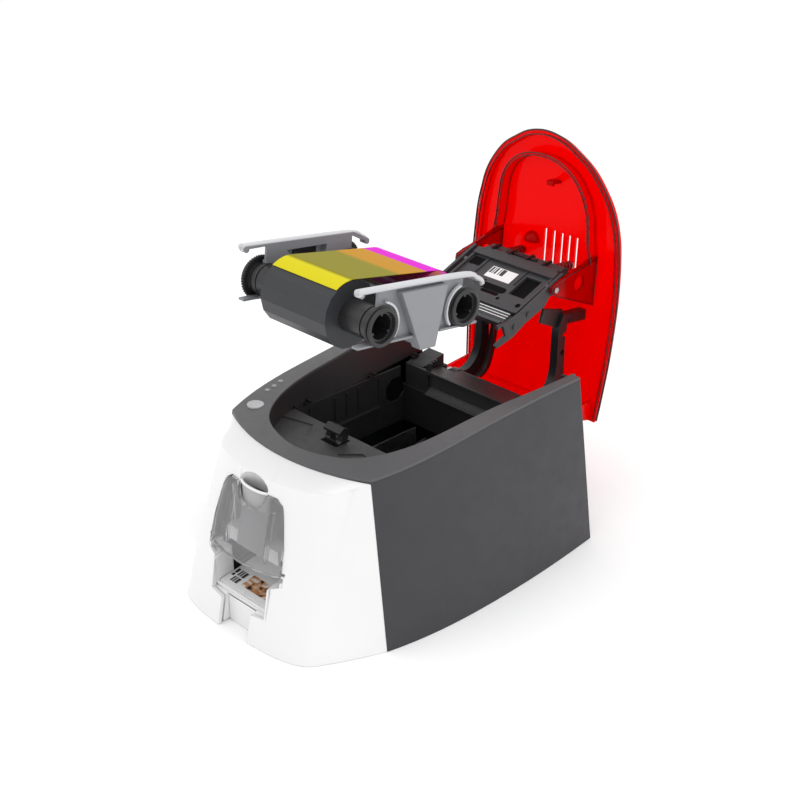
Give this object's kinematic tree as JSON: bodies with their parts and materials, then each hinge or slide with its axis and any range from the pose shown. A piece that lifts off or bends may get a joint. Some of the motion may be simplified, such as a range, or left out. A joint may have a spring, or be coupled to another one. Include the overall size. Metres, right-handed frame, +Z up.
{
  "type": "id card printer",
  "caption": "Desktop ID card printer with its red hinged lid open, the print head on the lid and the ribbon cartridge lifted out over the bay",
  "frame": {"origin": "middle of the base tray's underside plane, under the rim's front seam line", "axes": "+X right, +Y to the back, +Z up; the front faces -Y"},
  "size_m": [0.2046, 0.3299, 0.2943],
  "materials": {
    "white_front": "semi gloss",
    "dark_case": "fine texture",
    "rim_grey": "fine texture",
    "recess_black": "matte",
    "smoked": "smoked clear plastic",
    "red_lid": "translucent red plastic",
    "button_grey": "satin",
    "lens": "frosted",
    "rubber": "matte",
    "roller_rubber": "ground",
    "steel": "zinc plated",
    "chrome": "polished",
    "aluminium": "cast",
    "gear_white": "acetal",
    "gear_brass": "turned",
    "head_dark": "glass filled",
    "arm_black": "satin",
    "label": "paper",
    "bracket_grey": "satin",
    "core_black": "satin",
    "ribbon_dark": "wound film",
    "film_yellow": "dyed film",
    "card_white": "laminated",
    "board_green": "solder mask",
    "metal_can": "plated"
  },
  "bodies": {
    "base": {"front_fascia": "white_front", "left_side_cover": "dark_case", "right_side_cover": "dark_case", "rear_cover": "dark_case", "top_rim": "rim_grey", "recess_deck": "recess_black", "rear_deck": "recess_black", "bay_liner": "recess_black", "base_tray": "dark_case", "rubber_feet": "rubber", "status_lenses": "lens", "hopper_well": "white_front", "hopper_cup": "white_front", "engine_plate_right": "steel", "engine_plate_left": "steel", "drive_motor": "metal_can", "motor_cradle": "steel", "card_track": "recess_black", "control_board": "board_green", "power_inlet": "core_black", "usb_socket": "metal_can", "latch_cradle": "recess_black", "exit_chute": "white_front", "output_tray": "white_front", "printed_card": "card_white", "card_stack": "card_white", "hinge_pin_right": "steel", "hinge_pin_left": "steel"},
    "lid": {"lid_shell": "red_lid", "lid_arch": "red_lid", "lid_catch": "red_lid", "lid_gussets": "red_lid", "hinge_arm_right": "arm_black", "hinge_arm_left": "arm_black", "head_carrier": "head_dark", "head_pivot": "steel", "thermal_head": "aluminium", "head_strips": "chrome", "head_label": "label", "head_springs": "steel"},
    "cartridge": {"cartridge_bracket_right": "bracket_grey", "cartridge_bracket_left": "bracket_grey", "cartridge_ties": "bracket_grey", "ribbon_film": "film_yellow"},
    "supply_spool": {"supply_core": "core_black", "supply_roll": "ribbon_dark"},
    "takeup_spool": {"takeup_core": "core_black", "takeup_roll": "ribbon_dark"},
    "hopper_door": {"hopper_door": "smoked"},
    "power_button": {"power_button": "button_grey"},
    "latch_hook": {"latch_hook": "arm_black"},
    "platen": {"platen_roller": "roller_rubber", "platen_gear": "gear_white"},
    "motor_pinion": {"motor_pinion": "gear_brass"},
    "exit_roller": {"exit_roller": "roller_rubber"},
    "feed_roller": {"feed_roller": "roller_rubber"},
    "pick_roller": {"pick_roller": "roller_rubber"},
    "supply_spindle": {"supply_spindle": "core_black"},
    "takeup_spindle": {"takeup_spindle": "core_black"}
  },
  "joints": [
    {"name": "lid_hinge", "type": "hinge", "parent": "base", "child": "lid", "pos_m": [0, 0.2, 0.097], "axis": [1, 0, 0], "range_deg": [0, 97.5]},
    {"name": "cartridge_lift", "type": "slide", "parent": "base", "child": "cartridge", "axis": [0, -0.3791, 0.9253], "range_m": [0, 0.1902]},
    {"name": "supply_spin", "type": "hinge", "parent": "cartridge", "child": "supply_spool", "pos_m": [0, 0.0218, 0.2251], "axis": [1, 0, 0], "continuous": true},
    {"name": "takeup_spin", "type": "hinge", "parent": "cartridge", "child": "takeup_spool", "pos_m": [0, 0.09992, 0.2156], "axis": [1, 0, 0], "continuous": true},
    {"name": "hopper_door_hinge", "type": "hinge", "parent": "base", "child": "hopper_door", "pos_m": [0, -0.0496, 0.0586], "axis": [1, 0, 0], "range_deg": [0, 30]},
    {"name": "power_press", "type": "slide", "parent": "base", "child": "power_button", "axis": [0, 0, -1], "range_m": [0, 0.0012], "stiffness_N_per_m": 400, "springref_m": -0.002},
    {"name": "latch_pivot", "type": "hinge", "parent": "base", "child": "latch_hook", "pos_m": [0, 0.038, 0.106], "axis": [1, 0, 0], "range_deg": [0, 12], "stiffness_Nm_per_rad": 0.2, "springref_deg": -5.73},
    {"name": "platen_spin", "type": "hinge", "parent": "base", "child": "platen", "pos_m": [0, 0.1302, 0.0442], "axis": [1, 0, 0], "continuous": true},
    {"name": "pinion_spin", "type": "hinge", "parent": "base", "child": "motor_pinion", "pos_m": [0, 0.12205, 0.03008], "axis": [1, 0, 0], "continuous": true},
    {"name": "exit_spin", "type": "hinge", "parent": "base", "child": "exit_roller", "pos_m": [0, -0.026, 0.02478], "axis": [1, 0, 0], "continuous": true},
    {"name": "feed_spin", "type": "hinge", "parent": "base", "child": "feed_roller", "pos_m": [0, 0.062, 0.03662], "axis": [1, 0, 0], "continuous": true},
    {"name": "pick_spin", "type": "hinge", "parent": "base", "child": "pick_roller", "pos_m": [0, -0.008, 0.0506], "axis": [1, 0, 0], "continuous": true},
    {"name": "supply_drive", "type": "hinge", "parent": "base", "child": "supply_spindle", "pos_m": [0, 0.0735, 0.099], "axis": [1, 0, 0], "continuous": true},
    {"name": "takeup_drive", "type": "hinge", "parent": "base", "child": "takeup_spindle", "pos_m": [0, 0.1516, 0.0895], "axis": [1, 0, 0], "continuous": true}
  ],
  "couplings": [
    {"joint": "cartridge_lift", "follows": "lid_hinge", "m_per_rad": 0.11165},
    {"joint": "takeup_spin", "follows": "supply_spin", "ratio": 1.3409},
    {"joint": "pinion_spin", "follows": "platen_spin", "ratio": -2}
  ]
}
